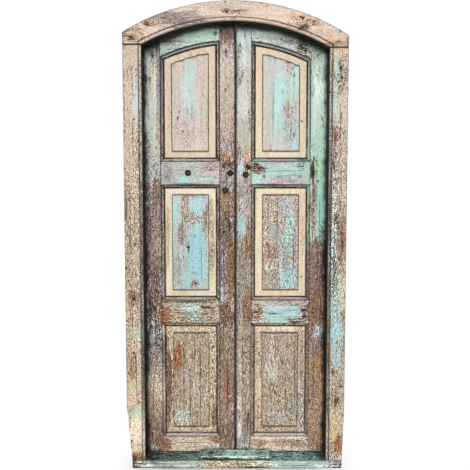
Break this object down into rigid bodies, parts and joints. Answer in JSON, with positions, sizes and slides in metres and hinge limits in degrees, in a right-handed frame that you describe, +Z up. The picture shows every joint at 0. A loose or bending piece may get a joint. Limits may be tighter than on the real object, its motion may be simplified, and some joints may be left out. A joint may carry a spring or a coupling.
{
  "type": "wooden double door with arched frame",
  "caption": "Old panelled wooden double door in its segmental-arched frame, with a sill, a raised stop and domed iron studs; the leaves swing away from the front on iron butt hinges.",
  "frame": {"origin": "middle of the sill's underside, halfway between the jambs and halfway through the frame's depth", "axes": "+Z up along the jambs, +X to the right seen from the front, and the front face looks along -Y"},
  "size_m": [1.055, 0.1635, 2.2339],
  "materials": {
    "frame_timber": "weathered hardwood with worn cream and pale green paint",
    "sill_timber": "worn green painted hardwood",
    "leaf_timber": "weathered hardwood with worn mint and turquoise paint",
    "panel_timber": "weathered hardwood with worn cream and pale blue paint",
    "peg_timber": "bare end grain",
    "hinge_iron": "rusted wrought iron",
    "stud_iron": "dark forged iron"
  },
  "bodies": {
    "frame": {"arched_head": "frame_timber", "left_jamb": "frame_timber", "right_jamb": "frame_timber", "sill": "sill_timber", "sill_stop": "sill_timber", "sill_stop_nails": "hinge_iron", "frame_pegs": "peg_timber", "left_jamb_hinge_plates": "hinge_iron", "right_jamb_hinge_plates": "hinge_iron", "left_hinge_pins": "hinge_iron", "right_hinge_pins": "hinge_iron", "left_jamb_hinge_screws": "hinge_iron", "right_jamb_hinge_screws": "hinge_iron"},
    "left_leaf": {"left_hinge_stile": "leaf_timber", "left_meeting_stile": "leaf_timber", "left_top_rail": "leaf_timber", "left_lock_rail": "leaf_timber", "left_lower_rail": "leaf_timber", "left_bottom_rail": "leaf_timber", "left_top_panel": "panel_timber", "left_middle_panel": "panel_timber", "left_bottom_panel": "panel_timber", "left_leaf_pegs": "peg_timber", "left_studs": "stud_iron", "left_leaf_hinge_plates": "hinge_iron", "left_leaf_hinge_screws": "hinge_iron"},
    "right_leaf": {"right_hinge_stile": "leaf_timber", "right_meeting_stile": "leaf_timber", "right_top_rail": "leaf_timber", "right_lock_rail": "leaf_timber", "right_lower_rail": "leaf_timber", "right_bottom_rail": "leaf_timber", "right_top_panel": "panel_timber", "right_middle_panel": "panel_timber", "right_bottom_panel": "panel_timber", "right_leaf_pegs": "peg_timber", "right_studs": "stud_iron", "right_leaf_hinge_plates": "hinge_iron", "right_leaf_hinge_screws": "hinge_iron"}
  },
  "joints": [
    {"name": "left_leaf_hinge", "type": "hinge", "parent": "frame", "child": "left_leaf", "pos_m": [-0.45225, 0.082, 1.1], "axis": [0, 0, 1], "range_deg": [0, 110]},
    {"name": "right_leaf_hinge", "type": "hinge", "parent": "frame", "child": "right_leaf", "pos_m": [0.45225, 0.082, 1.1], "axis": [0, 0, -1], "range_deg": [0, 110]}
  ]
}
